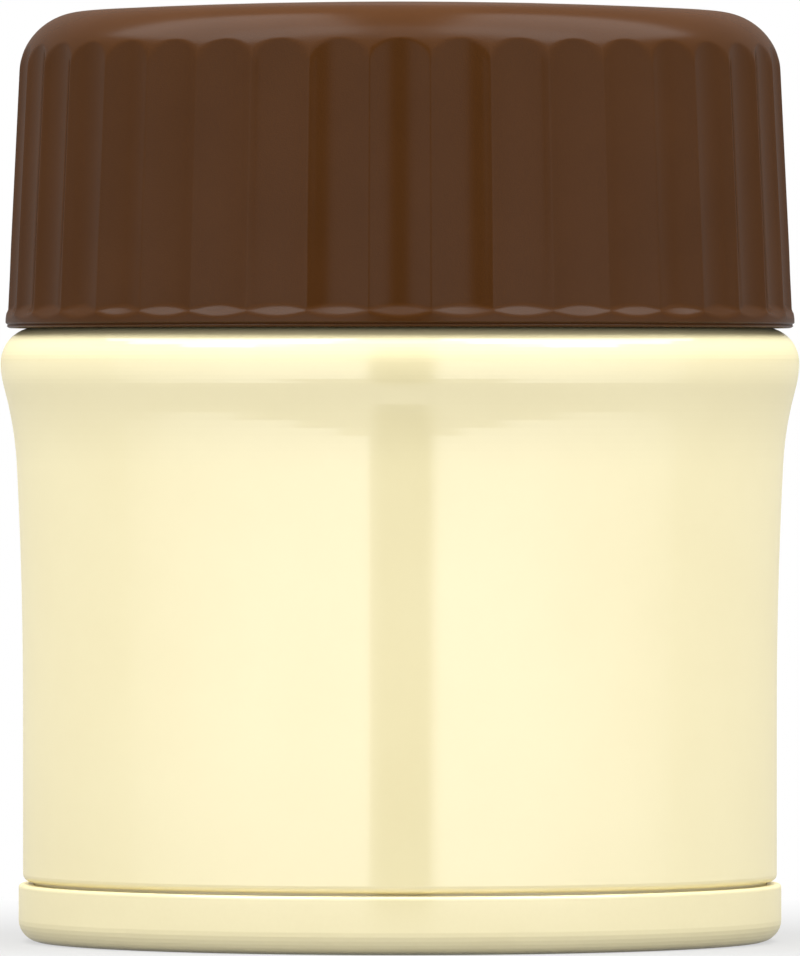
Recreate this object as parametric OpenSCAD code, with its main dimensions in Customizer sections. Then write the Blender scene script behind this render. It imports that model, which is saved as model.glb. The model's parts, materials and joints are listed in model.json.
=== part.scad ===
// Insulated food jar: a double-walled steel vessel with a painted body, a moulded
// base cup and a fluted screw lid that carries its own seal plate and pressure vent.
// Millimetres, +Z up, origin on the table at the centre of the base, front towards -Y.

/* [Body] */
// Largest diameter of the body, across its shoulder
body_d = 90; // [86:1:96]
// Height of the body, from the table to the top of its shoulder
body_h = 69.2; // [60:0.2:90]
// How far the shoulder stands out past the waist, on each side
flare = 2.5; // [2:0.1:2.9]
// Rounding over the top of the shoulder
shoulder_r = 4; // [3.6:0.1:4.6]
// Rounding under the widest line of the shoulder
bulge_r = 11; // [8:0.5:14]
// Radius of the hollow below the bulge
hollow_r = 38; // [34:1:42]
// Lean of the wall where the hollow turns into the bulge, in degrees
flare_lean = 14.5; // [13:0.5:15.5]
// Lean of the wall where the long gentle curve of the waist ends, in degrees
waist_lean = 3; // [2.5:0.1:3.5]
// Straight stretch between the hollow and the bulge
flare_straight = 1.1; // [0.6:0.1:1.6]
// Wall of the outer steel shell
shell_wall = 0.6; // [0.4:0.05:0.7]

/* [Neck and liner] */
// Height of the neck above the shoulder
neck_h = 18.8; // [15:0.2:21]
// Wall of the neck
neck_wall = 0.6; // [0.4:0.05:0.9]
// How far the neck reaches down inside the shoulder, where the two are welded
neck_weld = 1; // [0.6:0.1:1.6]
// Width of the vacuum between neck and liner
neck_gap = 1.9; // [1.4:0.1:2.6]
// Wall of the liner
liner_wall = 0.5; // [0.3:0.05:0.8]
// Width of the vacuum between the waist and the liner
vacuum_gap = 4; // [3:0.25:5]
// Height of the vacuum between the shell's bottom and the liner
floor_gap = 3.4; // [3.2:0.1:6]
// Rounding between the liner's wall and floor
floor_r = 8; // [5:0.5:14]
// Bend radius of the liner where it draws in to the mouth
draw_r = 4; // [3:0.25:6]
// Rounding of the rolled rim
rim_roll_r = 1.2; // [0.9:0.1:1.7]

/* [Base] */
// Height of the base cup
base_h = 6.5; // [5.6:0.1:10]
// How far the base cup stands out past the waist
base_proud = 0.5; // [0.2:0.1:1]
// Width of the shell's ledge, under which the base cup goes on
ledge_w = 1.2; // [1:0.1:2]
// Rounding of that ledge's edge, on the inside of the sheet
ledge_edge_r = 0.2; // [0.1:0.05:0.3]
// Thickness of the base cup's floor at its foot ring
base_floor = 2; // [1.6:0.1:2.6]
// Rounding under the base cup
base_r = 2.5; // [1.5:0.1:3.4]
// Rounding over the base cup's top edge
base_edge_r = 0.4; // [0.2:0.05:0.8]
// Depth of the hollow under the base cup
base_hollow = 0.6; // [0.2:0.1:0.9]
// Width of the foot ring that the jar stands on
foot_w = 5; // [3:0.5:9]
// Open seam between the base cup and the shell's ledge
seam = 0.3; // [0.1:0.05:0.6]
// Thickness of the adhesive between base cup and shell
adhesive_t = 0.2; // [0.1:0.05:0.5]
// Rise of the domed middle of the shell's bottom
bottom_rise = 1.2; // [0.6:0.1:1.6]
// Width of the slope round it
bottom_slope_w = 4; // [3:0.5:6]
// Width of the flat land round that slope, which is glued to the base cup
glue_w = 6.6; // [5:0.1:8]
// Number of ribs that stiffen the base cup's floor
base_rib_count = 8; // [6:1:12]
// Thickness of those ribs
base_rib_t = 1.2; // [0.8:0.1:1.6]
// Radius of the ring that the ribs run out from
base_hub_r = 9; // [7:0.5:12]
// Radius of the gate dimple in the middle of the base cup's underside
gate_r = 2.5; // [1.5:0.5:5]
// Depth of the gate dimple
gate_d = 0.3; // [0.2:0.05:0.5]

/* [Lid] */
// Height of the lid
lid_h = 36.6; // [34:0.2:44]
// How far the lid's rim stands in from the shoulder
lid_setback = 0.54; // [0.4:0.02:0.8]
// Lean of the lid's side, in degrees
lid_draft = 2.8; // [1.5:0.1:3.4]
// Rounding between the lid's side and top
corner_r = 7.3; // [6:0.1:9]
// Rise of the domed top above its rounding
dome_rise = 1; // [0.4:0.1:2]
// Height of the plain rim below the flutes
rim_h = 1.15; // [0.9:0.05:2.5]
// Rounding under the rim
rim_r = 0.6; // [0.3:0.05:0.7]
// How far the rim's bore is relieved to pass over the shoulder
rim_relief = 0.5; // [0.3:0.05:0.7]
// How far the rim stands out past the ridges between the flutes
rim_step = 0.12; // [0.06:0.02:0.3]
// Wall of the lid behind the flutes
lid_wall = 1.3; // [0.9:0.1:1.6]
// Thickness of the lid's top
top_wall = 2; // [1.4:0.1:3]

/* [Flutes] */
// Number of flutes round the lid
flute_count = 40; // [32:1:48]
// Depth of a flute below the ridges beside it
flute_depth = 0.7; // [0.5:0.05:0.9]
// Sweep radius of the sloping end of a flute
runout_r = 25; // [18:1:40]
// Steepness of that end, rise over run
runout_slope = 1.4; // [1:0.1:2]

/* [Collar] */
// Wall of the threaded collar inside the lid
collar_wall = 1.3; // [1:0.1:1.6]
// Lead-in slope at the collar's mouth
collar_lead = 0.5; // [0.3:0.05:0.8]
// Thickness of the collar's top plate
collar_top = 1.8; // [1.2:0.1:2.4]
// Thickness of the flange that closes the lid at the collar's foot
collar_flange = 1.4; // [1:0.1:2.4]
// Radial room for the screw thread between neck and collar
thread_room = 1.65; // [1.3:0.05:2]
// Wall of the rib that welds the lid's top to the collar
rib_wall = 1.4; // [1:0.1:2]
// How far that rib stands in from the collar's outside
rib_inset = 0.8; // [0.4:0.1:1.6]
// Number of snap lugs that hold the seal plate up
lug_count = 6; // [3:1:9]
// Arc covered by one lug, in degrees
lug_arc = 16; // [8:1:24]
// Thickness of a lug
lug_t = 1.4; // [1:0.1:1.8]

/* [Seal plate] */
// Thickness of the seal plate's flange
flange_t = 1.8; // [1.4:0.1:2.4]
// Wall of the plug that reaches into the mouth
plug_wall = 1.6; // [1.2:0.1:2.2]
// Depth of the plug below the rim
plug_depth = 8.5; // [8:0.25:12]
// Number of ribs between the plug's wall and its vent boss
plug_rib_count = 8; // [5:1:12]
// Thickness of those ribs
plug_rib_t = 1.2; // [0.8:0.1:1.6]
// Thickness of the plug's floor
plug_floor = 1.8; // [1.4:0.1:2.4]
// Thickness of the seal ring's sleeve
ring_t = 1; // [0.8:0.1:1.3]
// Thickness of the seal ring's flange, which lies on the rim
ring_flange_t = 1.2; // [0.8:0.1:1.8]
// Height of the bead that keeps the seal ring on the plug
bead_h = 1.4; // [1:0.1:1.8]
// How far that bead stands out of the plug
bead_out = 0.6; // [0.4:0.1:0.8]
// Height of the bead's top above the plug's foot
bead_up = 2.2; // [1.8:0.1:2.6]
// Height of each sealing lip
seal_lip_h = 1.1; // [0.8:0.1:1.4]
// How far each sealing lip stands out of the sleeve
seal_lip_out = 0.4; // [0.2:0.05:0.6]
// Height between one sealing lip and the next
seal_lip_pitch = 2.2; // [1.6:0.1:2.5]
// Gap between the seal ring's lips and the mouth
ring_gap = 0.2; // [0.1:0.05:0.4]

/* [Vent] */
// Radius of the vent hole
vent_hole_r = 3; // [2.4:0.1:3.8]
// Radius of the pocket under the vent hole
vent_pocket_r = 6.2; // [5.4:0.1:8]
// Radius of the vent's head
vent_head_r = 5.4; // [5:0.1:6]
// Radius of the vent's grip
vent_grip_r = 3.8; // [3.4:0.1:4.4]
// How far the barb that keeps the vent in its hole stands past it
barb_out = 0.9; // [0.5:0.1:1.1]
// Height of that barb
barb_h = 1; // [0.8:0.1:1.4]
// Thickness of the web that the vent hole goes through
vent_web = 1.8; // [1.4:0.1:2.2]
// Lift of the vent
vent_lift = 1.5; // [1:0.1:1.8]
// Height of the vent's grip
vent_grip_h = 3.2; // [2.4:0.1:3.6]
// Thickness of the vent's gasket
vent_gasket_t = 1.2; // [0.8:0.1:1.6]

/* [Vacuum fittings] */
// Radius of the evacuation hole in the shell's bottom
port_r = 1.5; // [1:0.1:2.5]
// Radius of the recess pressed round that hole, which holds the solder glass
recess_r = 5; // [4:0.5:7]
// Depth of that recess
recess_d = 0.5; // [0.3:0.05:0.6]
// Width of the slope round it
recess_slope_w = 1.4; // [1.2:0.1:2]
// Diameter of the getter pellet
getter_d = 10; // [7:0.5:12]
// Thickness of the getter pellet
getter_t = 1.6; // [1:0.1:1.8]
// Depth of the pressed powder below the edge of the getter's pan
getter_dish = 0.4; // [0.2:0.05:0.6]
// Distance of the getter from the jar's axis
getter_reach = 18; // [16:0.5:20]
// Thickness of the getter's clip
clip_t = 0.3; // [0.2:0.05:0.4]
// Width of the clip's strap
clip_w = 4; // [2:0.5:6]
// Length of the clip's welded feet
clip_foot = 2; // [1.5:0.25:3]
// Thickness of the reflective foil
foil_t = 0.15; // [0.1:0.05:0.3]

/* [Clearances] */
// Gap between pieces that are pushed together
fit = 0.1; // [0.05:0.01:0.15]
// Gap between pieces that move past each other
play = 0.3; // [0.2:0.05:0.4]

/* [Hidden] */
$fn = 96;

paint_cream = "#fff5ce";
plastic_cream = "#fdf1c8";
plastic_brown = "#543927";
steel = "#c9ccce";
steel_dark = "#a9acae";
foil_bright = "#dcdcde";
silicone = "#e9e6de";
foam_white = "#f3f1ea";
glass_green = "#7fae9c";

// Body outline
body_r = body_d / 2;
waist_r = body_r - flare;
shoulder_z = body_h - shoulder_r;
waist_curve_r = (flare - hollow_r * (cos(waist_lean) - cos(flare_lean))
    - flare_straight * sin(flare_lean) - bulge_r * (1 - cos(flare_lean))) / (1 - cos(waist_lean));
bulge_foot_z = shoulder_z - bulge_r * sin(flare_lean);
hollow_top_z = bulge_foot_z - flare_straight * cos(flare_lean);
waist_top_z = hollow_top_z - hollow_r * (sin(flare_lean) - sin(waist_lean));
waist_z = waist_top_z - waist_curve_r * sin(waist_lean);
waist_top_r = waist_r + waist_curve_r * (1 - cos(waist_lean));
ledge_outer_r = ledge_edge_r + shell_wall;

// Lid radii, from the rim inwards, each at the foot of the flutes
lid_r = body_r - lid_setback;
ridge_r = lid_r - rim_step;
valley_r = ridge_r - flute_depth;
bore_r = valley_r - lid_wall;
rim_bore_r = bore_r + rim_relief;
side_wall = flute_depth + lid_wall;
arc_center_r = body_r - shoulder_r;
rim_z = shoulder_z + sqrt(pow(shoulder_r + play, 2) - pow(rim_bore_r - arc_center_r, 2));
flute_z = rim_z + rim_h;
lid_top = rim_z + lid_h;

// Neck, liner and the stack of pieces over the rim
mouth_z = body_h + neck_h;
neck_foot_z = body_h - shell_wall - neck_weld;
ring_z = mouth_z + ring_gap;
flange_z = ring_z + ring_flange_t;
collar_z = flange_z + flange_t + play;
collar_top_z = collar_z + collar_top;
collar_r = bore_r - (collar_top_z - flute_z) * tan(lid_draft) - play;
collar_bore_r = collar_r - collar_wall;
neck_r = collar_bore_r - thread_room;
mouth_r = neck_r - neck_wall - neck_gap - liner_wall;
liner_r = waist_r - shell_wall - vacuum_gap - liner_wall;
collar_foot_z = body_h + play * 3;

// Base stack
base_cup_r = waist_r + base_proud;
ledge_z = base_h + seam;
tube_r = waist_r - ledge_w;
base_bore_r = tube_r + fit;
shell_foot_z = base_floor + adhesive_t;
bottom_top_z = shell_foot_z + bottom_rise + shell_wall;
liner_floor_z = bottom_top_z + floor_gap + liner_wall;
hollow_edge_r = base_cup_r - base_r - foot_w;
bottom_rim_r = tube_r - shell_wall - fit / 2;
glue_r = bottom_rim_r - glue_w;
bottom_dome_r = glue_r - bottom_slope_w;
bottom_dome_z = shell_foot_z + bottom_rise;
recess_z = bottom_dome_z + recess_d;

// Bend of the liner towards the mouth
draw_angle = acos(1 - (liner_r - mouth_r) / (2 * draw_r));
draw_top_z = body_h - neck_weld;
draw_z = draw_top_z - 2 * draw_r * sin(draw_angle);

// Rounding of the lid, and the dome that runs on from it
corner_z = lid_top - dome_rise - corner_r;
corner_center_r = side_r(corner_z) - corner_r / cos(lid_draft);
dome_r = (pow(corner_center_r, 2) + pow(dome_rise + corner_r, 2) - pow(corner_r, 2)) / (2 * dome_rise);
dome_half_angle = asin(corner_center_r / (dome_r - corner_r));

// Rib between the lid's top and the collar, and the height at which it is buried in the top
rib_r = collar_r - rib_inset;
rib_top_z = corner_z + sqrt(pow(corner_r - top_wall / 2, 2) - pow(rib_r - corner_center_r, 2));

// Flute cutter: a cylinder that meets two neighbouring ridges and the valley between them
half_pitch = 180 / flute_count;
flute_half_w = ridge_r * sin(half_pitch);
flute_sag = flute_depth - ridge_r * (1 - cos(half_pitch));
flute_r = (pow(flute_half_w, 2) + pow(flute_sag, 2)) / (2 * flute_sag);

// Seal plate
plate_r = collar_bore_r - play;
lug_r = neck_r + play + fit;
sleeve_r = mouth_r - ring_gap - seal_lip_out;
plug_r = sleeve_r - ring_t;
plug_z = mouth_z - plug_depth;
bead_z = plug_z + bead_up;

// Vent
web_z = plug_z + barb_h + vent_lift + play * 1.5;
web_top_z = web_z + vent_web;
vent_gasket_z = web_top_z + play / 2;
vent_head_z = vent_gasket_z + vent_gasket_t;
stem_r = vent_hole_r - play;
barb_top_z = web_z - vent_lift - play / 2;

// Radius of the drafted side at height z, on the line that the ridges follow
function side_r(z) = ridge_r - (z - flute_z) * tan(lid_draft);

// Points along an arc round a centre [r, z], from angle a to angle b
function arc(center, radius, a, b, steps = 8) =
    [for (i = [0:steps]) let (t = a + (b - a) * i / steps)
        center + radius * [cos(t), sin(t)]];

function reversed(points) = [for (i = [len(points) - 1:-1:0]) points[i]];

function but_last(points) = [for (i = [0:len(points) - 2]) points[i]];

// A wall of revolution between a path and the same path drawn further in
module wall(outside, inside) {
    rotate_extrude() polygon(concat(outside, reversed(inside)));
}

module ring(inner, outer, z, height) {
    translate([0, 0, z]) difference() {
        cylinder(r = outer, h = height);
        translate([0, 0, -1]) cylinder(r = inner, h = height + 2);
    }
}

// Outline of the painted shell, "depth" inside its outer surface
function shell_path(depth) = concat(
    [[tube_r - depth, shell_foot_z], [tube_r - depth, ledge_z + depth]],
    arc([waist_r - ledge_outer_r, ledge_z + ledge_outer_r], ledge_outer_r - depth, -90, 0, 4),
    arc([waist_r + waist_curve_r, waist_z], waist_curve_r + depth, 180, 180 - waist_lean, 12),
    arc([waist_top_r + hollow_r * cos(waist_lean), waist_top_z - hollow_r * sin(waist_lean)],
        hollow_r + depth, 180 - waist_lean - 1, 180 - flare_lean, 8),
    arc([body_r - bulge_r, shoulder_z], bulge_r - depth, -flare_lean, 0, 6),
    arc([arc_center_r, shoulder_z], shoulder_r - depth, 6, 90, 14),
    [[neck_r + fit / 2, body_h - depth]]
);

module outer_shell() {
    color(paint_cream) wall(shell_path(0), shell_path(shell_wall));
}

module threaded_neck() {
    color(steel)
        ring(neck_r - neck_wall, neck_r, neck_foot_z, mouth_z - liner_wall - neck_foot_z);
}

// Outline of the liner, "depth" outside its inner surface, from the floor's middle to the lip
function liner_path(depth) = concat(
    [[0, liner_floor_z - depth]],
    arc([liner_r - floor_r, liner_floor_z + floor_r], floor_r + depth, -90, 0, 10),
    arc([liner_r - draw_r, draw_z], draw_r + depth, 0, draw_angle, 6),
    arc([mouth_r + draw_r, draw_top_z], draw_r - depth, 180 + draw_angle - 6, 180, 6),
    arc([mouth_r + rim_roll_r, mouth_z - rim_roll_r], rim_roll_r - depth, 180, 90, 6),
    [[neck_r, mouth_z - depth]]
);

module inner_liner() {
    color(steel) wall(liner_path(liner_wall), liner_path(0));
}

module reflective_foil() {
    foot = liner_floor_z + floor_r;
    color(foil_bright)
        ring(liner_r + liner_wall + fit, liner_r + liner_wall + fit + foil_t, foot, draw_z - foot);
}

// A pressed step in a sheet, from radius r at height z down by "drop" over "width", as two
// arcs that meet halfway; "depth" above the sheet's underside
function step_down(r, z, drop, width, depth) =
    let (bend = 2 * atan(drop / width), radius = width / (2 * sin(bend)))
    concat(
        arc([r, z - radius], radius + depth, 90, 90 - bend, 5),
        arc([r + width, z - drop + radius], radius - depth, 270 - bend, 270, 5)
    );

// Outline of the shell's bottom, "depth" above its underside: recess, dome, glued land and rim
function bottom_path(depth) = concat(
    [[0, recess_z + depth]],
    step_down(recess_r, recess_z, recess_d, recess_slope_w, depth),
    step_down(bottom_dome_r, bottom_dome_z, bottom_rise, bottom_slope_w, depth),
    [[bottom_rim_r - depth, shell_foot_z + depth], [bottom_rim_r - depth, ledge_z]]
);

module shell_bottom() {
    color(steel_dark) difference() {
        wall(bottom_path(0), bottom_path(shell_wall));
        translate([0, 0, bottom_dome_z]) cylinder(r = port_r, h = recess_d + shell_wall + 1);
    }
}

// Solder glass that closes the evacuation hole: a bead in the recess and a stem in the hole
module vacuum_seal() {
    glass_r = port_r * 2;
    color(glass_green) rotate_extrude() polygon([
        [0, bottom_dome_z], [glass_r - recess_d, bottom_dome_z], [glass_r, recess_z],
        [port_r, recess_z], [port_r, recess_z + shell_wall], [0, recess_z + shell_wall]
    ]);
}

// Pan of pressed powder, lying on the shell's bottom
module getter() {
    edge = 0.3;
    radius = getter_d / 2;
    brim = radius - edge * 2;
    color(steel_dark) translate([getter_reach, 0, bottom_top_z + fit]) rotate_extrude() polygon([
        [0, 0], [radius - edge, 0], [radius, edge], [radius, getter_t], [brim, getter_t],
        [brim - edge, getter_t - getter_dish], [0, getter_t - getter_dish]
    ]);
}

// Spring-steel strap over the getter, with a welded foot on each side of it
module getter_clip() {
    inside = getter_d / 2 + fit;
    outside = inside + clip_t;
    under = getter_t + 2 * fit;
    half = [
        [inside, under], [inside, 0], [outside + clip_foot, 0], [outside + clip_foot, clip_t],
        [outside, clip_t], [outside, under + clip_t]
    ];
    other = [for (point = reversed(half)) [-point[0], point[1]]];
    color(steel) translate([getter_reach, 0, bottom_top_z]) rotate([90, 0, 0])
        linear_extrude(clip_w, center = true) polygon(concat(half, other));
}

module base_adhesive() {
    color(foam_white) ring(glue_r, bottom_rim_r, base_floor, adhesive_t);
}

// Base cup with a hub and ribs on its floor, which stay clear of the shell's domed bottom
module base_cup() {
    hub_z = bottom_dome_z - play;
    rib_z = hub_z - 0.2;
    root_z = (base_floor + base_hollow) / 2;
    color(plastic_cream) {
        rotate_extrude() polygon(concat(
            [[0, base_hollow + gate_d], [gate_r - gate_d, base_hollow + gate_d], [gate_r, base_hollow]],
            [[hollow_edge_r - base_hollow, base_hollow], [hollow_edge_r, 0]],
            arc([base_cup_r - base_r, base_r], base_r, -90, 0, 8),
            arc([base_cup_r - base_edge_r, base_h - base_edge_r], base_edge_r, 0, 90, 4),
            [[base_bore_r, base_h], [base_bore_r, base_floor], [base_hub_r, base_floor]],
            [[base_hub_r, hub_z], [base_hub_r - base_rib_t, hub_z]],
            [[base_hub_r - base_rib_t, base_floor], [0, base_floor]]
        ));
        for (i = [0:base_rib_count - 1]) rotate([0, 0, (i + 0.5) * 360 / base_rib_count])
            translate([base_hub_r - base_rib_t / 2, -base_rib_t / 2, root_z])
                cube([bottom_dome_r - play - base_hub_r, base_rib_t, rib_z - root_z]);
    }
}

// The lid's rounding and dome, some way inside its side and inside its top
function top_points(side_depth, top_depth, corner_steps, dome_steps) =
    let (z = corner_z + side_depth - top_depth, r = side_r(z) - corner_r / cos(lid_draft))
    concat(
        but_last(arc([r, z], corner_r - side_depth, lid_draft, 90 - dome_half_angle, corner_steps)),
        arc([0, lid_top - dome_r], dome_r - top_depth, 90 - dome_half_angle, 90, dome_steps)
    );

// Outline of the lid before its flutes: rim, step in to the line of the ridges, side and top.
// The side stands "spare" outside the ridges, so that neighbouring flutes meet in sharp edges.
function lid_outside() =
    let (band_z = flute_z + 0.6, step = 0.2, spare = 0.02)
    concat(
        arc([lid_r - rim_r, rim_z + rim_r], rim_r, -90, 0, 5),
        [[lid_r, band_z], [side_r(band_z + step) + spare, band_z + step]],
        top_points(0, 0, 16, 8)
    );

function lid_inside() = concat(
    [[rim_bore_r, rim_z], [rim_bore_r, collar_foot_z], [bore_r, collar_foot_z]],
    top_points(side_wall, top_wall, 8, 6)
);

// Radius of the lid's bore at height z
function bore_at(z) = bore_r - (z - collar_foot_z) * tan(lid_draft);

// One flute, cut at the front: a leaning cylinder with a sloping lower end
module flute_cutter() {
    below = 4;
    above = lid_h;
    intersection() {
        translate([0, -valley_r, flute_z]) rotate([-lid_draft, 0, 0])
            translate([0, -flute_r, -below])
                cylinder(r = flute_r, h = below + above, $fn = 180);
        translate([0, -lid_r - runout_r, flute_z - below])
            cylinder(r1 = runout_r - below / runout_slope, r2 = runout_r + above / runout_slope,
                h = below + above);
    }
}

module lid_shell() {
    color(plastic_brown) difference() {
        union() {
            wall(lid_outside(), lid_inside());
            ring(rib_r - rib_wall, rib_r, collar_top_z, rib_top_z - collar_top_z);
        }
        for (i = [0:flute_count - 1]) rotate([0, 0, i * 2 * half_pitch]) flute_cutter();
    }
}

// Threaded inner cap: a mouth with a lead-in slope, a closed top and a flange round its foot
module lid_collar() {
    flange_top_z = collar_foot_z + collar_flange;
    edge = 0.4;
    color(plastic_brown) {
        rotate_extrude() polygon([
            [0, collar_z], [collar_bore_r, collar_z], [collar_bore_r, collar_foot_z + collar_lead],
            [collar_bore_r + collar_lead, collar_foot_z], [bore_at(flange_top_z) - fit, collar_foot_z],
            [bore_at(flange_top_z) - fit, flange_top_z], [collar_r, flange_top_z],
            [collar_r, collar_top_z - edge], [collar_r - edge, collar_top_z], [0, collar_top_z]
        ]);
        for (i = [0:lug_count - 1]) rotate([0, 0, i * 360 / lug_count]) lug();
    }
}

// Snap lug under the seal plate's flange, with a lead-in slope below
module lug() {
    top_z = flange_z - play;
    rotate([0, 0, -lug_arc / 2]) rotate_extrude(angle = lug_arc) polygon([
        [collar_bore_r + fit, top_z], [lug_r, top_z], [lug_r, top_z - lug_t / 2],
        [collar_bore_r + fit, top_z - lug_t]
    ]);
}

module lid_insulation() {
    pad_r = rib_r - rib_wall - play;
    top_r = dome_r - top_wall - play;
    edge_angle = asin((pad_r - corner_r) / top_r);
    color(foam_white) rotate_extrude() polygon(concat(
        [[0, collar_top_z + fit], [pad_r, collar_top_z + fit], [pad_r, corner_z]],
        arc([0, lid_top - dome_r], top_r, 90 - edge_angle, 90, 4)
    ));
}

// Plug with a flange above, a bead that keeps the seal ring on, and a ribbed tray round its vent
module seal_plate() {
    edge = 0.4;
    top_z = flange_z + flange_t;
    boss_r = vent_pocket_r + plug_wall;
    color(plastic_brown) difference() {
        rotate_extrude() polygon([
            [0, plug_z], [plug_r - edge, plug_z], [plug_r, plug_z + edge], [plug_r, bead_z - bead_h],
            [plug_r + bead_out, bead_z - bead_h / 2], [plug_r + bead_out, bead_z], [plug_r, bead_z],
            [plug_r, flange_z], [plate_r - edge, flange_z], [plate_r, flange_z + edge],
            [plate_r, top_z - edge], [plate_r - edge, top_z], [0, top_z]
        ]);
        difference() {
            translate([0, 0, plug_z + plug_floor]) cylinder(r = plug_r - plug_wall, h = lid_h);
            translate([0, 0, plug_z]) cylinder(r = boss_r, h = web_top_z - plug_z);
            for (i = [0:plug_rib_count - 1]) rotate([0, 0, (i + 0.5) * 360 / plug_rib_count])
                translate([boss_r - plug_wall / 2, -plug_rib_t / 2, plug_z])
                    cube([plug_r - boss_r, plug_rib_t, web_top_z - plug_z]);
        }
        translate([0, 0, plug_z - 1]) cylinder(r = vent_pocket_r, h = web_z - plug_z + 1);
        translate([0, 0, plug_z - 1]) cylinder(r = vent_hole_r, h = web_top_z - plug_z + 2);
    }
}

// Silicone ring: a sleeve on the plug with two sealing lips and a flange over the rim
module seal_ring() {
    lip_out = sleeve_r + seal_lip_out;
    lip_foot = bead_z + seal_lip_h;
    color(silicone) rotate_extrude() polygon(concat(
        [[plug_r, bead_z], [sleeve_r, bead_z]],
        [for (z = [lip_foot, lip_foot + seal_lip_pitch])
            each [[sleeve_r, z], [lip_out, z + seal_lip_h / 2], [sleeve_r, z + seal_lip_h]]],
        [[sleeve_r, ring_z], [neck_r - fit, ring_z], [neck_r - fit, flange_z], [plug_r, flange_z]]
    ));
}

// Vent that is pulled up by its grip: barb, stem, head and a waisted grip
module vent_stem() {
    waist = vent_grip_r * 0.7;
    edge = 0.3;
    head_t = 0.7;
    top_z = vent_head_z + vent_grip_h;
    grip_z = top_z - head_t - edge;
    color(plastic_brown) rotate_extrude() polygon([
        [0, barb_top_z - barb_h], [stem_r - edge, barb_top_z - barb_h],
        [vent_hole_r + barb_out, barb_top_z], [stem_r, barb_top_z], [stem_r, vent_head_z],
        [vent_head_r, vent_head_z], [vent_head_r, vent_head_z + head_t],
        [waist, vent_head_z + head_t + edge], [waist, grip_z - edge], [vent_grip_r, grip_z],
        [vent_grip_r, top_z - edge], [vent_grip_r - edge, top_z], [0, top_z]
    ]);
}

module vent_gasket() {
    color(silicone) ring(stem_r, vent_head_r, vent_gasket_z, vent_gasket_t);
}

outer_shell();
threaded_neck();
inner_liner();
reflective_foil();
shell_bottom();
vacuum_seal();
getter();
getter_clip();
base_adhesive();
base_cup();
lid_shell();
lid_collar();
lid_insulation();
seal_plate();
seal_ring();
vent_stem();
vent_gasket();
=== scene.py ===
# Insulated food jar: the looks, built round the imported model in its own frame. Metres, +Z up.
import json
import math

import bpy
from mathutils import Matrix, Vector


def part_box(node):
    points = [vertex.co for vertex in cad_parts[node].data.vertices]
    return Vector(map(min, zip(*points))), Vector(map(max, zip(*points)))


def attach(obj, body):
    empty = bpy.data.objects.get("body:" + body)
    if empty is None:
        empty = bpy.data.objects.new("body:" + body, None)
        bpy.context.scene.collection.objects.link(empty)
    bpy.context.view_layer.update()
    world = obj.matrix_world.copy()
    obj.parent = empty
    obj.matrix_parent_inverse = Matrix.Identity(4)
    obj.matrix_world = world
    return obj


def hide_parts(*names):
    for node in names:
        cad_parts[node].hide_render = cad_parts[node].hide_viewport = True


mm = 0.001
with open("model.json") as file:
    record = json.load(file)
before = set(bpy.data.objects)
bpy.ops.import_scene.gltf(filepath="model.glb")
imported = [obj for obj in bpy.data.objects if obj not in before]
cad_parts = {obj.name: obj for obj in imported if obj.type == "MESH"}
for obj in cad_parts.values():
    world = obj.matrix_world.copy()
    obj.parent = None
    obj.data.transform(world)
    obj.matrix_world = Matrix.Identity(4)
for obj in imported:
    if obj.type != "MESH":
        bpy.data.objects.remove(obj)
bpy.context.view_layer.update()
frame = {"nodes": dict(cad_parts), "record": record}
nodes = frame["nodes"]
bpy.ops.object.select_all(action="DESELECT")
print("frame loaded:", len(nodes), "nodes")


# Small helpers

def radiusOf(name):  # outer radius of a round node
    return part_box(name)[1].x


def heightsOf(name):  # lowest and highest point of a node
    low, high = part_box(name)
    return low.z, high.z


def arcPoints(centre, radius, start, end, steps):  # points along an arc, in degrees
    points = []
    for i in range(steps + 1):
        angle = math.radians(start + (end - start) * i / steps)
        points.append((centre[0] + radius * math.cos(angle), centre[1] + radius * math.sin(angle)))
    return points


def evenly(low, high, count):  # count steps from low to high, both ends included
    return [low + (high - low) * i / count for i in range(count + 1)]


# Shading helpers

def startMaterial(name, colour, roughness, **settings):
    material = bpy.data.materials.new(name)
    material.use_nodes = True
    shader = material.node_tree.nodes["Principled BSDF"]
    shader.inputs["Base Color"].default_value = (*colour, 1)
    shader.inputs["Roughness"].default_value = roughness
    for socket, value in settings.items():
        shader.inputs[socket.replace("_", " ")].default_value = value
    return material, material.node_tree, shader


def addNode(tree, kind, inputs=None, **settings):
    node = tree.nodes.new(kind)
    for key, value in settings.items():
        setattr(node, key, value)
    for socket, value in (inputs or {}).items():
        node.inputs[socket].default_value = value
    return node


def addGroup(tree, group, inputs):
    node = addNode(tree, "ShaderNodeGroup", node_tree=group)
    for socket, value in inputs.items():
        node.inputs[socket].default_value = value
    return node


def calculate(tree, operation, first, second):  # a Math node with linked or plain inputs
    node = addNode(tree, "ShaderNodeMath", operation=operation)
    for socket, value in zip(node.inputs, (first, second)):
        if isinstance(value, (int, float)):
            socket.default_value = value
        else:
            tree.links.new(value, socket)
    return node.outputs[0]


def objectPoint(tree):  # the point on the piece, in millimetres
    place = addNode(tree, "ShaderNodeTexCoord")
    scale = addNode(tree, "ShaderNodeMapping", {"Scale": (1 / mm, 1 / mm, 1 / mm)})
    tree.links.new(place.outputs["Object"], scale.inputs["Vector"])
    return scale.outputs["Vector"]


def startGroup(name, inputs, outputs):
    group = bpy.data.node_groups.new(name, "ShaderNodeTree")
    for socket, kind, value in inputs:
        made = group.interface.new_socket(name=socket, in_out="INPUT", socket_type=kind)
        if value is not None:
            made.default_value = value
    for socket, kind in outputs:
        group.interface.new_socket(name=socket, in_out="OUTPUT", socket_type=kind)
    return group, addNode(group, "NodeGroupInput"), addNode(group, "NodeGroupOutput")


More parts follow.
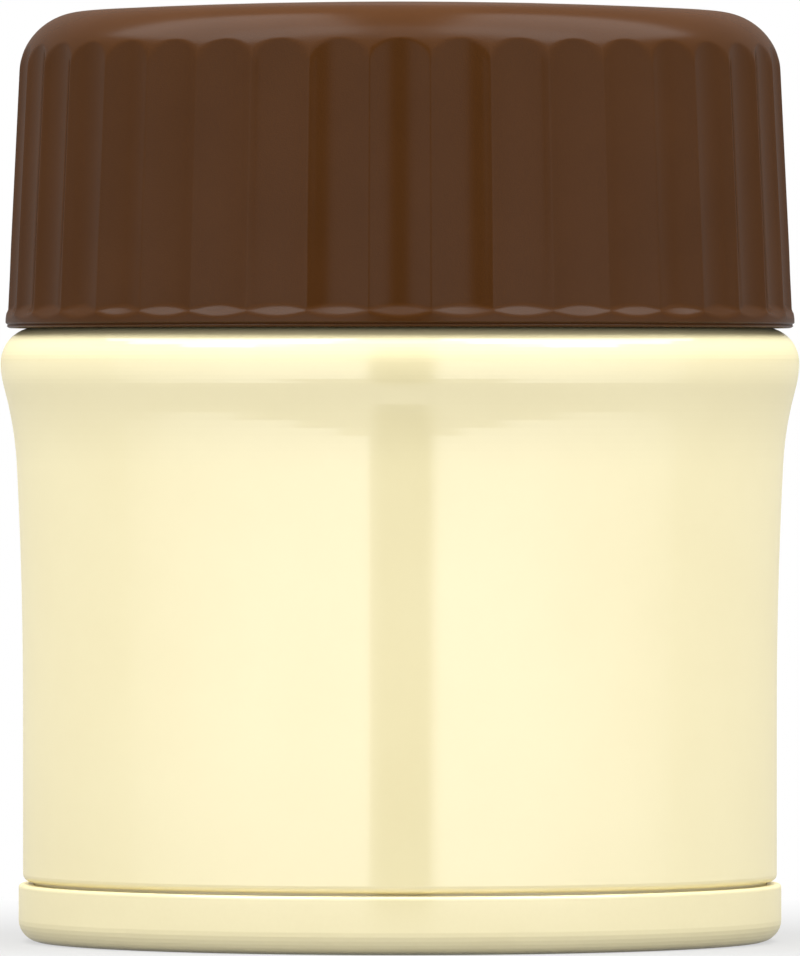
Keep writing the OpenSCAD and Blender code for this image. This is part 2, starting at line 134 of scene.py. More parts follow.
def makeGrain():  # fine texture of a moulded or sprayed surface, with a slow drift of tone
    group, given, made = startGroup(
        "surfaceGrain",
        [("Point", "NodeSocketVector", None), ("Grain Size", "NodeSocketFloat", 0.3),
         ("Drift Size", "NodeSocketFloat", 12.0)],
        [("Height", "NodeSocketFloat"), ("Tone", "NodeSocketFloat"), ("Speck", "NodeSocketFloat")])
    link = group.links.new
    fineScale = calculate(group, "DIVIDE", 1.0, given.outputs["Grain Size"])
    slowScale = calculate(group, "DIVIDE", 1.0, given.outputs["Drift Size"])
    fine = addNode(group, "ShaderNodeTexNoise", {"Detail": 3.0, "Roughness": 0.65})
    slow = addNode(group, "ShaderNodeTexNoise", {"Detail": 4.0, "Roughness": 0.55})
    cells = addNode(group, "ShaderNodeTexVoronoi", feature="SMOOTH_F1")
    for texture, scale in ((fine, fineScale), (cells, fineScale), (slow, slowScale)):
        link(given.outputs["Point"], texture.inputs["Vector"])
        link(scale, texture.inputs["Scale"])
    height = calculate(group, "ADD", fine.outputs["Fac"],
                       calculate(group, "MULTIPLY", cells.outputs["Distance"], 0.6))
    link(height, made.inputs["Height"])
    link(slow.outputs["Fac"], made.inputs["Tone"])
    link(fine.outputs["Fac"], made.inputs["Speck"])
    return group


def makeTurning():  # fine lines round the jar's axis, as turning, spinning or polishing leaves them
    group, given, made = startGroup(
        "turningLines",
        [("Point", "NodeSocketVector", None), ("Line Width", "NodeSocketFloat", 0.1),
         ("Line Length", "NodeSocketFloat", 1.0)],
        [("Height", "NodeSocketFloat"), ("Streak", "NodeSocketFloat")])
    link = group.links.new
    split = addNode(group, "ShaderNodeSeparateXYZ")
    link(given.outputs["Point"], split.inputs[0])
    flat = addNode(group, "ShaderNodeCombineXYZ")
    link(split.outputs["X"], flat.inputs["X"])
    link(split.outputs["Y"], flat.inputs["Y"])
    radius = addNode(group, "ShaderNodeVectorMath", operation="LENGTH")
    link(flat.outputs[0], radius.inputs[0])
    outward = addNode(group, "ShaderNodeVectorMath", operation="NORMALIZE")
    link(flat.outputs[0], outward.inputs[0])
    around = addNode(group, "ShaderNodeSeparateXYZ")
    link(outward.outputs[0], around.inputs[0])
    across = calculate(group, "ADD", radius.outputs["Value"], split.outputs["Z"])
    lines = addNode(group, "ShaderNodeCombineXYZ")
    link(calculate(group, "DIVIDE", around.outputs["X"], given.outputs["Line Length"]), lines.inputs["X"])
    link(calculate(group, "DIVIDE", around.outputs["Y"], given.outputs["Line Length"]), lines.inputs["Y"])
    link(calculate(group, "DIVIDE", across, given.outputs["Line Width"]), lines.inputs["Z"])
    fine = addNode(group, "ShaderNodeTexNoise", {"Scale": 1.0, "Detail": 4.0, "Roughness": 0.7})
    wide = addNode(group, "ShaderNodeTexNoise", {"Scale": 0.12, "Detail": 2.0, "Roughness": 0.5})
    link(lines.outputs[0], fine.inputs["Vector"])
    link(lines.outputs[0], wide.inputs["Vector"])
    link(fine.outputs["Fac"], made.inputs["Height"])
    streak = calculate(group, "ADD", fine.outputs["Fac"], wide.outputs["Fac"])
    link(calculate(group, "MULTIPLY", streak, 0.5), made.inputs["Streak"])
    return group


def makeHandling():  # faint smudges and a little dust, which only change the gloss
    group, given, made = startGroup(
        "handling",
        [("Point", "NodeSocketVector", None), ("Amount", "NodeSocketFloat", 0.05)],
        [("Gloss Loss", "NodeSocketFloat")])
    link = group.links.new
    smudge = addNode(group, "ShaderNodeTexNoise",
                     {"Scale": 0.06, "Detail": 5.0, "Roughness": 0.6, "Distortion": 0.8})
    dust = addNode(group, "ShaderNodeTexNoise", {"Scale": 2.2, "Detail": 2.0})
    link(given.outputs["Point"], smudge.inputs["Vector"])
    link(given.outputs["Point"], dust.inputs["Vector"])
    spread = addNode(group, "ShaderNodeMapRange", {"From Min": 0.45, "From Max": 0.75})
    link(smudge.outputs["Fac"], spread.inputs["Value"])
    specks = addNode(group, "ShaderNodeMapRange", {"From Min": 0.68, "From Max": 0.8})
    link(dust.outputs["Fac"], specks.inputs["Value"])
    both = calculate(group, "ADD", spread.outputs[0], specks.outputs[0])
    link(calculate(group, "MULTIPLY", both, given.outputs["Amount"]), made.inputs["Gloss Loss"])
    return group


surfaceGrain = makeGrain()
turningLines = makeTurning()
handling = makeHandling()
print("shared surface effects made")


# Finishes

def addBump(tree, shader, height, distance, strength=1.0):  # distance in millimetres
    bump = addNode(tree, "ShaderNodeBump", {"Strength": strength, "Distance": distance * mm})
    tree.links.new(height, bump.inputs["Height"])
    tree.links.new(bump.outputs["Normal"], shader.inputs["Normal"])
    return bump


def addTones(tree, shader, factor, dark, light, low=0.3, high=0.7):  # base colour between two tones
    tones = addNode(tree, "ShaderNodeValToRGB")
    tones.color_ramp.elements[0].position = low
    tones.color_ramp.elements[1].position = high
    tones.color_ramp.elements[0].color = (*dark, 1)
    tones.color_ramp.elements[1].color = (*light, 1)
    tree.links.new(factor, tones.inputs["Fac"])
    tree.links.new(tones.outputs["Color"], shader.inputs["Base Color"])


def addRoughness(tree, shader, change, least):  # roughness that rises from its least value
    tree.links.new(calculate(tree, "ADD", change, least), shader.inputs["Roughness"])


def makePaint():  # gloss enamel over steel, with a faint orange peel
    look = {"peel": 1.6, "peelDepth": 0.0012, "least": 0.12}
    material, tree, shader = startMaterial("creamEnamel", (0.87, 0.78, 0.47), look["least"],
                                           Specular_IOR_Level=0.0, Coat_Weight=0.34,
                                           Coat_Roughness=0.06, Coat_IOR=2.8)
    point = objectPoint(tree)
    grain = addGroup(tree, surfaceGrain, {"Grain Size": look["peel"], "Drift Size": 26.0})
    marks = addGroup(tree, handling, {"Amount": 0.05})
    tree.links.new(point, grain.inputs["Point"])
    tree.links.new(point, marks.inputs["Point"])
    addTones(tree, shader, grain.outputs["Tone"], (0.855, 0.762, 0.455), (0.880, 0.792, 0.485))
    addRoughness(tree, shader, marks.outputs["Gloss Loss"], look["least"])
    addBump(tree, shader, grain.outputs["Height"], look["peelDepth"])
    return material


def makeMoulded(name, dark, light, least, grainSize, grainDepth, drift=14.0, **settings):
    material, tree, shader = startMaterial(name, light, least, **settings)
    point = objectPoint(tree)
    grain = addGroup(tree, surfaceGrain, {"Grain Size": grainSize, "Drift Size": drift})
    marks = addGroup(tree, handling, {"Amount": 0.06})
    tree.links.new(point, grain.inputs["Point"])
    tree.links.new(point, marks.inputs["Point"])
    tone = calculate(tree, "ADD", calculate(tree, "MULTIPLY", grain.outputs["Tone"], 0.7),
                     calculate(tree, "MULTIPLY", grain.outputs["Speck"], 0.3))
    addTones(tree, shader, tone, dark, light)
    addRoughness(tree, shader, marks.outputs["Gloss Loss"], least)
    addBump(tree, shader, grain.outputs["Height"], grainDepth)
    return material


def makeSteel(name, dark, light, least, lineWidth, lineDepth, streak=0.12):
    material, tree, shader = startMaterial(name, light, least, Metallic=1.0)
    point = objectPoint(tree)
    lines = addGroup(tree, turningLines, {"Line Width": lineWidth, "Line Length": 0.8})
    marks = addGroup(tree, handling, {"Amount": 0.08})
    tree.links.new(point, lines.inputs["Point"])
    tree.links.new(point, marks.inputs["Point"])
    addTones(tree, shader, lines.outputs["Streak"], dark, light)
    change = calculate(tree, "ADD", marks.outputs["Gloss Loss"],
                       calculate(tree, "MULTIPLY", lines.outputs["Streak"], streak))
    addRoughness(tree, shader, change, least)
    addBump(tree, shader, lines.outputs["Height"], lineDepth)
    return material


finishes = {
    "cream_paint": makePaint(),
    "cream_plastic": makeMoulded("creamMoulding", (0.850, 0.760, 0.455), (0.880, 0.792, 0.485),
                                 0.16, 0.5, 0.0015, Specular_IOR_Level=0.0,
                                 Coat_Weight=0.34, Coat_Roughness=0.1, Coat_IOR=2.8),
    "brown_plastic": makeMoulded("brownMoulding", (0.0545, 0.0190, 0.0036), (0.0655, 0.0236, 0.0054),
                                 0.3, 0.18, 0.018, Specular_IOR_Level=0.0,
                                 Coat_Weight=0.27, Coat_Roughness=0.22, Coat_IOR=1.5),
    "dark_plastic": makeMoulded("brownInnerMoulding", (0.050, 0.022, 0.010), (0.070, 0.034, 0.017),
                                0.34, 0.4, 0.004, Specular_IOR_Level=0.4),
    "neck_steel": makeSteel("rolledSteel", (0.52, 0.53, 0.54), (0.66, 0.67, 0.68), 0.2, 0.09, 0.0015),
    "liner_steel": makeSteel("polishedSteel", (0.56, 0.57, 0.58), (0.70, 0.71, 0.72), 0.16, 0.06, 0.001),
    "sheet_steel": makeSteel("pressedSteel", (0.36, 0.37, 0.38), (0.50, 0.51, 0.52), 0.32, 0.3, 0.003),
    "bright_foil": makeSteel("brightFoil", (0.70, 0.70, 0.72), (0.86, 0.86, 0.87), 0.08, 3.0, 0.03, 0.05),
    "getter_metal": makeSteel("pressedPowder", (0.10, 0.10, 0.105), (0.16, 0.16, 0.17), 0.6, 0.2, 0.02),
    "silicone": makeMoulded("siliconeRubber", (0.72, 0.71, 0.66), (0.80, 0.79, 0.745), 0.45, 0.3, 0.004),
    "foam": makeMoulded("foamedPad", (0.78, 0.76, 0.70), (0.90, 0.88, 0.83), 0.85, 0.7, 0.12),
    "adhesive": makeMoulded("curedAdhesive", (0.70, 0.68, 0.60), (0.80, 0.78, 0.71), 0.5, 1.5, 0.03),
    "solder_glass": makeMoulded("solderGlass", (0.16, 0.30, 0.25), (0.22, 0.38, 0.32), 0.1, 0.8, 0.006,
                                Coat_Weight=0.5),
}
for entry in frame["record"]["subparts"]:
    node = nodes[entry["node"]]
    node.data.materials.clear()
    node.data.materials.append(finishes[entry["material_slot"]])
print("finishes made:", len(finishes))


# Modelling helpers

def gridPiece(name, columns, rows):  # a flat grid, one column and row of faces per step
    bpy.ops.mesh.primitive_grid_add(x_subdivisions=columns, y_subdivisions=rows, size=1)
    piece = bpy.context.object
    piece.name = piece.data.name = name
    return piece


def gridPlace(vertex, columns, rows):  # the column and row that a vertex of such a grid stands in
    return round((vertex.co.x + 0.5) * columns), round((vertex.co.y + 0.5) * rows)


def finishPiece(piece, body, slot, smoothAngle=40):
    bpy.ops.object.select_all(action="DESELECT")
    piece.select_set(True)
    bpy.context.view_layer.objects.active = piece
    bpy.ops.object.mode_set(mode="EDIT")
    bpy.ops.mesh.select_all(action="SELECT")
    bpy.ops.mesh.remove_doubles(threshold=0.002 * mm)
    bpy.ops.mesh.normals_make_consistent(inside=False)
    bpy.ops.object.mode_set(mode="OBJECT")
    bpy.ops.object.shade_smooth_by_angle(angle=math.radians(smoothAngle))
    piece.data.materials.clear()
    piece.data.materials.append(finishes[slot])
    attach(piece, body)
    piece.select_set(False)
    print("piece made:", piece.name, len(piece.data.polygons), "faces")
    return piece


def repeatRound(copies):  # repeats the selected sector round the jar's axis, in edit mode
    bpy.ops.object.mode_set(mode="EDIT")
    bpy.ops.mesh.select_all(action="SELECT")
    bpy.ops.mesh.spin(dupli=True, steps=copies - 1, angle=math.tau * (copies - 1) / copies,
                      center=(0, 0, 0), axis=(0, 0, 1))
    bpy.ops.object.mode_set(mode="OBJECT")


# Fluted lid

lidShape = {
    "flutes": 40,
    "fluteDepth": 0.7 * mm,
    "draft": 2.8,  # lean of the side, in degrees
    "cornerRadius": 7.3 * mm,
    "domeRise": 1.0 * mm,
    "sideWall": 2.0 * mm,  # with the flutes' depth
    "topWall": 2.0 * mm,
    "rimHeight": 1.15 * mm,  # plain rim below the flutes
    "rimStep": 0.12 * mm,
    "rimRound": 0.6 * mm,
    "grooveHeight": 0.4 * mm,  # fine line round the rim, above its foot
    "grooveHalf": 0.18 * mm,
    "grooveDepth": 0.22 * mm,
    "bandHeight": 0.6 * mm,  # how far the rim's face runs up between the flutes
    "rimBore": 42.84 * mm,
    "ribRadius": 40.1 * mm,
    "ribWall": 1.4 * mm,
    "runoutRadius": 25.0 * mm,
    "runoutSlope": 1.4,
    "ridgeRound": 0.4 * mm,
    "archSoftness": 0.07 * mm,
    "archLow": 18,  # where the flutes' arched ends cross the rounding, in degrees above level
    "archHigh": 40,
    "runoutSoftness": 0.22 * mm,
}


def softMin(a, b, width):  # the smaller of two, with the crossing rounded off
    near = max(width - abs(a - b), 0) / width
    return min(a, b) - near * near * width / 4


def makeLid():
    s = lidShape
    rimZ, topZ = heightsOf("lid_shell")
    collarFoot, collarTop = heightsOf("lid_collar")
    lidR = radiusOf("lid_shell")
    lean = math.tan(math.radians(s["draft"]))
    fluteZ = rimZ + s["rimHeight"]
    ridgeR = lidR - s["rimStep"]
    valleyR = ridgeR - s["fluteDepth"]
    halfPitch = math.pi / s["flutes"]
    halfWidth = ridgeR * math.sin(halfPitch)
    sag = s["fluteDepth"] - ridgeR * (1 - math.cos(halfPitch))
    fluteR = (halfWidth ** 2 + sag ** 2) / (2 * sag)
    ridgeTilt = math.asin(halfWidth / fluteR) + halfPitch
    ridgeHalf = s["ridgeRound"] * math.sin(ridgeTilt) / ridgeR  # half the rounded ridge, as an angle

    def sideR(z):
        return ridgeR - (z - fluteZ) * lean

    cornerZ = topZ - s["domeRise"] - s["cornerRadius"]
    cornerR = sideR(cornerZ) - s["cornerRadius"] / math.cos(math.radians(s["draft"]))
    cornerRise = s["domeRise"] + s["cornerRadius"]
    domeR = (cornerR ** 2 + cornerRise ** 2 - s["cornerRadius"] ** 2) / (2 * s["domeRise"])
    domeHalf = math.degrees(math.asin(cornerR / (domeR - s["cornerRadius"])))

    def carvedR(z, turn, blank):  # radius of the fluted surface, turned away from a flute's middle
        axis = valleyR + fluteR - (z - fluteZ) * lean
        flute = axis * math.cos(turn) - math.sqrt(fluteR ** 2 - (axis * math.sin(turn)) ** 2)
        fromRidge = halfPitch - abs(turn)
        if fromRidge < ridgeHalf:
            middle = sideR(z) - s["ridgeRound"] / math.cos(ridgeTilt)
            flute = middle * math.cos(fromRidge) + math.sqrt(
                s["ridgeRound"] ** 2 - (middle * math.sin(fromRidge)) ** 2)
        axis = lidR + s["runoutRadius"]
        reach = s["runoutRadius"] + (z - fluteZ) / s["runoutSlope"]
        end = axis * math.cos(turn) - math.sqrt(reach ** 2 - (axis * math.sin(turn)) ** 2)
        softness = s["runoutSoftness"] if z < fluteZ + 5 * mm else s["archSoftness"]
        return softMin(blank, -softMin(-flute, -end, softness), softness)

    rimRound = arcPoints((lidR - s["rimRound"], rimZ + s["rimRound"]), s["rimRound"], -90, 0, 12)
    rimRound = [(r - s["grooveDepth"] * max(0, 1 - abs(z - rimZ - s["grooveHeight"]) / s["grooveHalf"]), z)
                for r, z in rimRound]
    bandZ = fluteZ + s["bandHeight"]
    top = arcPoints((0, topZ - domeR), domeR, 90 - domeHalf, 90, 8)
    corner = []
    for start, end, steps in ((s["draft"], s["archLow"], 7), (s["archLow"], s["archHigh"], 38),
                              (s["archHigh"], 90 - domeHalf, 14)):
        corner = corner[:-1] + arcPoints((cornerR, cornerZ), s["cornerRadius"], start, end, steps)
    side = [(sideR(z), z) for z in evenly(bandZ + 1 * mm, corner[0][1], 8)[:-1]]
    foot = [(lidR if z < bandZ else sideR(z) + s["rimStep"] * max(0, 1 - (z - bandZ) / (0.3 * mm)), z)
            for z in evenly(fluteZ - 0.4 * mm, bandZ + 0.9 * mm, 22)]
    innerShift = s["sideWall"] - s["topWall"]
    innerZ = cornerZ + innerShift
    innerR = sideR(innerZ) - s["cornerRadius"] / math.cos(math.radians(s["draft"]))
    innerCorner = arcPoints((innerR, innerZ), s["cornerRadius"] - s["sideWall"],
                            90 - domeHalf, s["draft"], 10)
    innerDome = domeR - s["topWall"]

    def domeUnder(r):
        return topZ - domeR + math.sqrt(innerDome ** 2 - r ** 2)

    ribR = s["ribRadius"]
    ribInner = ribR - s["ribWall"]
    underCorner = [p for p in innerCorner if p[0] > ribR + 0.2 * mm]
    inside = [(0, domeUnder(0)), (ribInner * 0.5, domeUnder(ribInner * 0.5))]
    inside += [(min(ribInner, innerR), domeUnder(min(ribInner, innerR)))]
    inside += [(ribInner, collarTop), (ribR, collarTop), (ribR, underCorner[0][1])] + underCorner
    boreR = sideR(collarFoot) - s["sideWall"]
    inside += [(boreR, collarFoot), (s["rimBore"], collarFoot), (s["rimBore"], rimZ + 0.2 * mm),
               (s["rimBore"] + 0.2 * mm, rimZ)]
    outline = inside + rimRound + foot + side + corner + top[1:]
    carveFrom = len(inside) + len(rimRound)
    carveTo = carveFrom + len(foot) + len(side) + len(corner)

    turns = evenly(0, ridgeHalf, 2) + evenly(ridgeHalf, halfPitch, 6)[1:]
    turns = [-(halfPitch - t) for t in turns] + [halfPitch - t for t in reversed(turns)][1:]
    columns, rows = len(turns) - 1, len(outline) - 1
    lid = gridPiece("lid", columns, rows)
    for vertex in lid.data.vertices:
        column, row = gridPlace(vertex, columns, rows)
        turn = turns[column]
        r, z = outline[row]
        if carveFrom <= row < carveTo:
            r = carvedR(z, turn, r)
        vertex.co = (r * math.cos(turn), r * math.sin(turn), z)
    repeatRound(s["flutes"])
    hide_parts("lid_shell")
    return finishPiece(lid, "lid", "brown_plastic")


makeLid()


# Screw thread, which the neck and the collar share

threadShape = {
    "starts": 2,
    "lead": 10.0 * mm,  # rise in one turn, as the lid's joints have it
    "neckFoot": 6.0 * mm,  # above the neck's lower edge
    "neckHead": 2.6 * mm,  # below its upper edge
    "neckHalf": 1.2 * mm,  # half the width of the neck's rolled ridge
    "neckRise": 1.3 * mm,
    "neckFade": 1.0 * mm,  # climb over which a ridge grows from nothing
    "neckWall": 0.6 * mm,
    "collarBore": 39.61 * mm,
    "collarFoot": 2.6 * mm,  # above the collar's lower edge
    "collarClimb": 9.6 * mm,  # how far the collar's ridge climbs
    "collarBelow": 2.1 * mm,  # how far it runs below the neck's ridge
    "collarRise": 1.26 * mm,
    "collarRoot": 0.8 * mm,  # half its width at its root and at its crest
    "collarCrest": 0.4 * mm,
    "collarEdge": 0.08 * mm,  # rounding of its crest
    "collarSink": 0.05 * mm,  # how far its root lies in the bore
}


def threadZ(foot, turn, start):  # height of a neck ridge's middle, without its full turns
    s = threadShape
    return foot + s["lead"] * (turn / math.tau + start / s["starts"])


def ridgeRise(low, high, turn, z):  # how far the neck's rolled ridges stand out at a point
    s = threadShape
    rise = 0
    for start in range(s["starts"]):
        middle = threadZ(low, turn, start)
        middle += s["lead"] * round((z - middle) / s["lead"])
        inside = min(middle - low, high - middle) / s["neckFade"]
        away = abs(z - middle) / s["neckHalf"]
        if inside > 0 and away < 1:
            grown = math.sin(min(inside, 1) * math.pi / 2)
            rise = max(rise, s["neckRise"] * grown * math.cos(away * math.pi / 2) ** 1.5)
    return rise


def makeNeck():
    s = threadShape
    low, high = heightsOf("threaded_neck")
    neckR = radiusOf("threaded_neck")
    threadLow, threadHigh = low + s["neckFoot"], high - s["neckHead"]
    heights = evenly(low, high, 96)
    walls = [(z, 0) for z in heights] + [(z, s["neckWall"]) for z in reversed(heights)] + [(low, 0)]
    columns, rows = 240, len(walls) - 1
    neck = gridPiece("neck", columns, rows)
    for vertex in neck.data.vertices:
        column, row = gridPlace(vertex, columns, rows)
        turn = math.tau * column / columns
        z, depth = walls[row]
        r = neckR + ridgeRise(threadLow, threadHigh, turn, z) - depth
        vertex.co = (r * math.cos(turn), r * math.sin(turn), z)
    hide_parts("threaded_neck")
    return finishPiece(neck, "jar", "neck_steel")


def makeCollarThread(start):
    s = threadShape
    low = heightsOf("lid_collar")[0] + s["collarFoot"]
    neckFoot = heightsOf("threaded_neck")[0] + s["neckFoot"]
    columns, rows = 160, 6
    ridge = gridPiece("collarThread" + str(start + 1), columns, rows)
    turnFrom = (low - threadZ(neckFoot, 0, start) + s["collarBelow"]) / s["lead"] * math.tau
    for vertex in ridge.data.vertices:
        column, row = gridPlace(vertex, columns, rows)
        along = column / columns
        turn = turnFrom + along * s["collarClimb"] / s["lead"] * math.tau
        grown = math.sin(math.pi / 2 * min(1, 12 * along, 12 * (1 - along)))
        rise = s["collarRise"] * grown
        flank = [(0, s["collarRoot"]), (rise * 0.8, s["collarCrest"] + s["collarEdge"]),
                 (rise, s["collarCrest"] * 0.6)]
        outline = flank + [(depth, -away) for depth, away in reversed(flank)] + [flank[0]]
        depth, away = outline[row]
        r = s["collarBore"] + s["collarSink"] - depth
        z = threadZ(neckFoot, turn, start) - s["collarBelow"] + away * grown
        vertex.co = (r * math.cos(turn), r * math.sin(turn), z)
    return finishPiece(ridge, "lid", "dark_plastic", 60)


weldShape = {
    "bead": 0.32 * mm,
    "standOff": 0.05 * mm,
    "ripples": 97,
    "ripple": 0.0004,  # share of the radius by which the bead wavers
}


def makeWeld():  # bead where the neck is welded into the shoulder
    s = weldShape
    middle = (radiusOf("threaded_neck") + s["standOff"], heightsOf("outer_shell")[1])
    points = arcPoints(middle, s["bead"], -20, 110, 6)
    points.append(points[0])  # closes the bead at the back
    columns, rows = 200, len(points) - 1
    weld = gridPiece("shoulderWeld", columns, rows)
    for vertex in weld.data.vertices:
        column, row = gridPlace(vertex, columns, rows)
        turn = math.tau * column / columns
        r, height = points[row]
        swell = 1 + s["ripple"] * math.sin(s["ripples"] * turn)
        vertex.co = (r * swell * math.cos(turn), r * swell * math.sin(turn), height)
    return finishPiece(weld, "jar", "neck_steel", 60)


makeNeck()
for start in range(threadShape["starts"]):
    makeCollarThread(start)
makeWeld()


# Camera

cameraShape = {
    "distance": 1.612,
    "height": 62.7 * mm,
    "aim": 52.2 * mm,  # height that the middle of the picture looks at
    "lens": 538.4,
}


def makeCamera():
    s = cameraShape
    tilt = math.atan((s["height"] - s["aim"]) / s["distance"])
    bpy.ops.object.camera_add(location=(0, -s["distance"], s["height"]),
                              rotation=(math.pi / 2 - tilt, 0, 0))
    camera = bpy.context.object
    camera.name = "camera"
    camera.data.lens = s["lens"]
    camera.data.sensor_width = 36
    camera.data.clip_start = 0.1
    camera.data.clip_end = 100
    bpy.context.scene.camera = camera


makeCamera()
print("camera placed")


# Light and floor

studio = {
    "middle": 60 * mm,  # height that the overhead lamps face
    "sideTurn": 46,  # the two side softboxes, in degrees from the front
    "sideDistance": 0.2,
    "sideWidth": 0.31,
    "sideHeight": 0.34,
    "sideLight": 0.99,
    "sideFade": 0.42,  # share of a side softbox that is fully bright, from its edge near the camera
    "sideFadeOut": 0.2,  # brightness of its outer edge
    "sideFadeUp": 0.5,  # brightness of its upper part
    "topDistance": 0.6,
    "topTilt": 62,  # the two overhead softboxes, above level
    "topWidth": 0.56,
    "topDepth": 0.44,
    "topLight": 3.6,
    "frontTilt": 68,  # the softbox over the front, above level
    "frontWidth": 0.9,
    "frontDepth": 0.26,
    "frontLight": 1.35,
    "fillTilt": 74,  # the fill over the front, which no surface mirrors
    "fillWidth": 1.0,
    "fillDepth": 0.5,
    "fillLight": 2.6,
    "roomLight": 0.24,
    "roomMirrored": 0.6,  # how bright the room is in reflections
    "floorSize": 60,
    "floorTone": 0.31,
    "shadowNear": 0.05,  # the floor keeps a shadow that fades out from here
    "shadowFar": 0.14,
    "shadowShare": 0.6,  # how white the floor is where the shadow is strongest
    "gapWidth": 0.066,  # unlit gap between the side softboxes, seen only in reflections
    "gapSoft": 0.3,  # share of its width over which each edge fades
    "gapHeight": 0.2,
    "gapDistance": 0.17,
    "gapShift": 0.0026,
}


# turn is in degrees from the front, tilt in degrees above level
def addLamp(name, turn, tilt, distance, middle, width, height, brightness):
    a, e = math.radians(turn), math.radians(tilt)
    place = (distance * math.sin(a) * math.cos(e), -distance * math.cos(a) * math.cos(e),
             middle + distance * math.sin(e))
    bpy.ops.object.light_add(type="AREA", location=place, rotation=(math.pi / 2 - e, 0, a))
    lamp = bpy.context.object
    lamp.name = name
    lamp.data.shape = "RECTANGLE"
    lamp.data.size = width
    lamp.data.size_y = height
    lamp.data.energy = brightness * math.pi * width * height
    lamp.visible_camera = False
    return lamp


def fadeLamp(lamp, side):  # dims a side softbox towards its outer edge and its top
    lamp.data.use_nodes = True
    tree = lamp.data.node_tree
    place = addNode(tree, "ShaderNodeNewGeometry")
    split = addNode(tree, "ShaderNodeSeparateXYZ")
    tree.links.new(place.outputs["Parametric"], split.inputs[0])
    across = calculate(tree, "MULTIPLY_ADD", split.outputs["X"], side)
    across.node.inputs[2].default_value = (1 - side) / 2
    outer = addNode(tree, "ShaderNodeMapRange",
                    {"From Min": studio["sideFade"], "To Min": 1.0, "To Max": studio["sideFadeOut"]})
    upper = addNode(tree, "ShaderNodeMapRange",
                    {"From Min": 0.2, "From Max": 0.38, "To Min": 1.0, "To Max": studio["sideFadeUp"]})
    tree.links.new(across, outer.inputs["Value"])
    tree.links.new(split.outputs["Y"], upper.inputs["Value"])
    tree.links.new(calculate(tree, "MULTIPLY", outer.outputs[0], upper.outputs[0]),
                   tree.nodes["Emission"].inputs["Strength"])


def makeRoom():  # world light; camera and glass rays see plain white, mirrors a little less
    world = bpy.data.worlds.new("room")
    bpy.context.scene.world = world
    world.use_nodes = True
    tree = world.node_tree
    background = tree.nodes["Background"]
    rays = addNode(tree, "ShaderNodeLightPath")
    mirrored = calculate(tree, "MULTIPLY", rays.outputs["Is Glossy Ray"],
                         (studio["roomMirrored"] - studio["roomLight"]) / (1 - studio["roomLight"]))
    seen = calculate(tree, "MAXIMUM", rays.outputs["Is Camera Ray"], mirrored)
    seen = calculate(tree, "MAXIMUM", seen, rays.outputs["Is Transmission Ray"])
    strength = addNode(tree, "ShaderNodeMapRange", {"To Min": studio["roomLight"], "To Max": 1.0})
    tree.links.new(seen, strength.inputs["Value"])
    tree.links.new(strength.outputs[0], background.inputs["Strength"])
    background.inputs["Color"].default_value = (1, 1, 1, 1)


def makeFloor():
    bpy.ops.mesh.primitive_plane_add(size=studio["floorSize"])
    floor = bpy.context.object
    floor.name = "floor"
    material, tree, shader = startMaterial("paleFloor", (studio["floorTone"],) * 3, 0.9)
    glow = addNode(tree, "ShaderNodeEmission", {"Color": (1, 1, 1, 1), "Strength": 1.0})
    rays = addNode(tree, "ShaderNodeLightPath")
    place = addNode(tree, "ShaderNodeTexCoord")
    away = addNode(tree, "ShaderNodeVectorMath", operation="LENGTH")
    share = addNode(tree, "ShaderNodeMapRange",
                    {"From Min": studio["shadowNear"], "From Max": studio["shadowFar"],
                     "To Min": studio["shadowShare"], "To Max": 1.0})
    mix = addNode(tree, "ShaderNodeMixShader")
    tree.links.new(place.outputs["Object"], away.inputs[0])
    tree.links.new(away.outputs["Value"], share.inputs["Value"])
    seen = calculate(tree, "MAXIMUM", rays.outputs["Is Camera Ray"], rays.outputs["Is Glossy Ray"])
    seen = calculate(tree, "MAXIMUM", seen, rays.outputs["Is Transmission Ray"])
    tree.links.new(calculate(tree, "MULTIPLY", share.outputs[0], seen), mix.inputs[0])
    tree.links.new(shader.outputs[0], mix.inputs[1])
    tree.links.new(glow.outputs[0], mix.inputs[2])
    tree.links.new(mix.outputs[0], tree.nodes["Material Output"].inputs["Surface"])
    floor.data.materials.append(material)


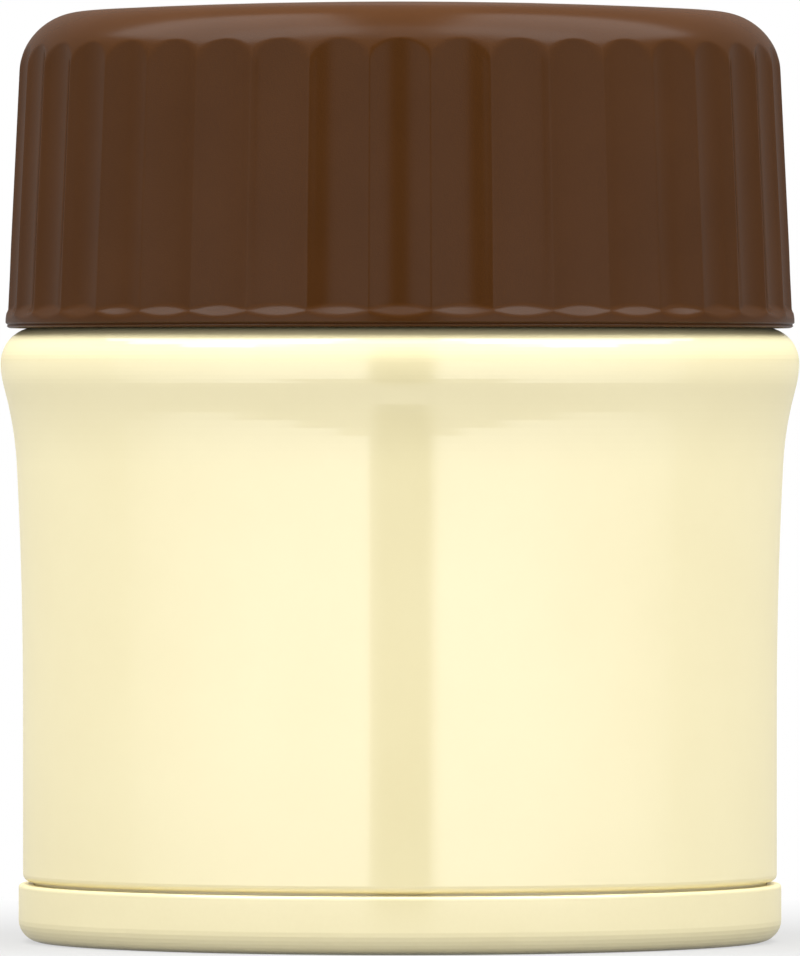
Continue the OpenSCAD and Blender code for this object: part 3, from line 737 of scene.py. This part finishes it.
def makeGap():
    place = (studio["gapShift"], -studio["gapDistance"], studio["gapHeight"] / 2)
    bpy.ops.mesh.primitive_plane_add(size=1, location=place, rotation=(math.pi / 2, 0, 0))
    gap = bpy.context.object
    gap.name = "gapBetweenLamps"
    gap.scale = (studio["gapWidth"], studio["gapHeight"], 1)
    material, tree, shader = startMaterial("unlitCloth", (0.02, 0.02, 0.02), 1.0)
    clear = addNode(tree, "ShaderNodeBsdfTransparent")
    place = addNode(tree, "ShaderNodeTexCoord")
    split = addNode(tree, "ShaderNodeSeparateXYZ")
    edge = addNode(tree, "ShaderNodeMapRange", {"From Min": 0.5, "From Max": 0.5 - studio["gapSoft"]},
                   interpolation_type="SMOOTHSTEP")
    mix = addNode(tree, "ShaderNodeMixShader")
    tree.links.new(place.outputs["Object"], split.inputs[0])
    tree.links.new(calculate(tree, "ABSOLUTE", split.outputs["X"], 0), edge.inputs["Value"])
    tree.links.new(edge.outputs[0], mix.inputs[0])
    tree.links.new(clear.outputs[0], mix.inputs[1])
    tree.links.new(shader.outputs[0], mix.inputs[2])
    tree.links.new(mix.outputs[0], tree.nodes["Material Output"].inputs["Surface"])
    gap.data.materials.append(material)
    gap.visible_camera = gap.visible_diffuse = gap.visible_shadow = False


for name, side in (("leftSoftbox", -1), ("rightSoftbox", 1)):
    lamp = addLamp(name, side * studio["sideTurn"], 0, studio["sideDistance"], studio["sideHeight"] / 2,
                   studio["sideWidth"], studio["sideHeight"], studio["sideLight"])
    fadeLamp(lamp, side)
for name, turn in (("topLeftSoftbox", -90), ("topRightSoftbox", 90)):
    addLamp(name, turn, studio["topTilt"], studio["topDistance"], studio["middle"],
            studio["topWidth"], studio["topDepth"], studio["topLight"])
addLamp("frontSoftbox", 0, studio["frontTilt"], studio["topDistance"], studio["middle"],
        studio["frontWidth"], studio["frontDepth"], studio["frontLight"])
fill = addLamp("frontFill", 0, studio["fillTilt"], studio["topDistance"], studio["middle"],
               studio["fillWidth"], studio["fillDepth"], studio["fillLight"])
fill.visible_glossy = False
makeGap()
makeRoom()
makeFloor()
bpy.context.scene.view_settings.view_transform = "Standard"
print("studio ready")
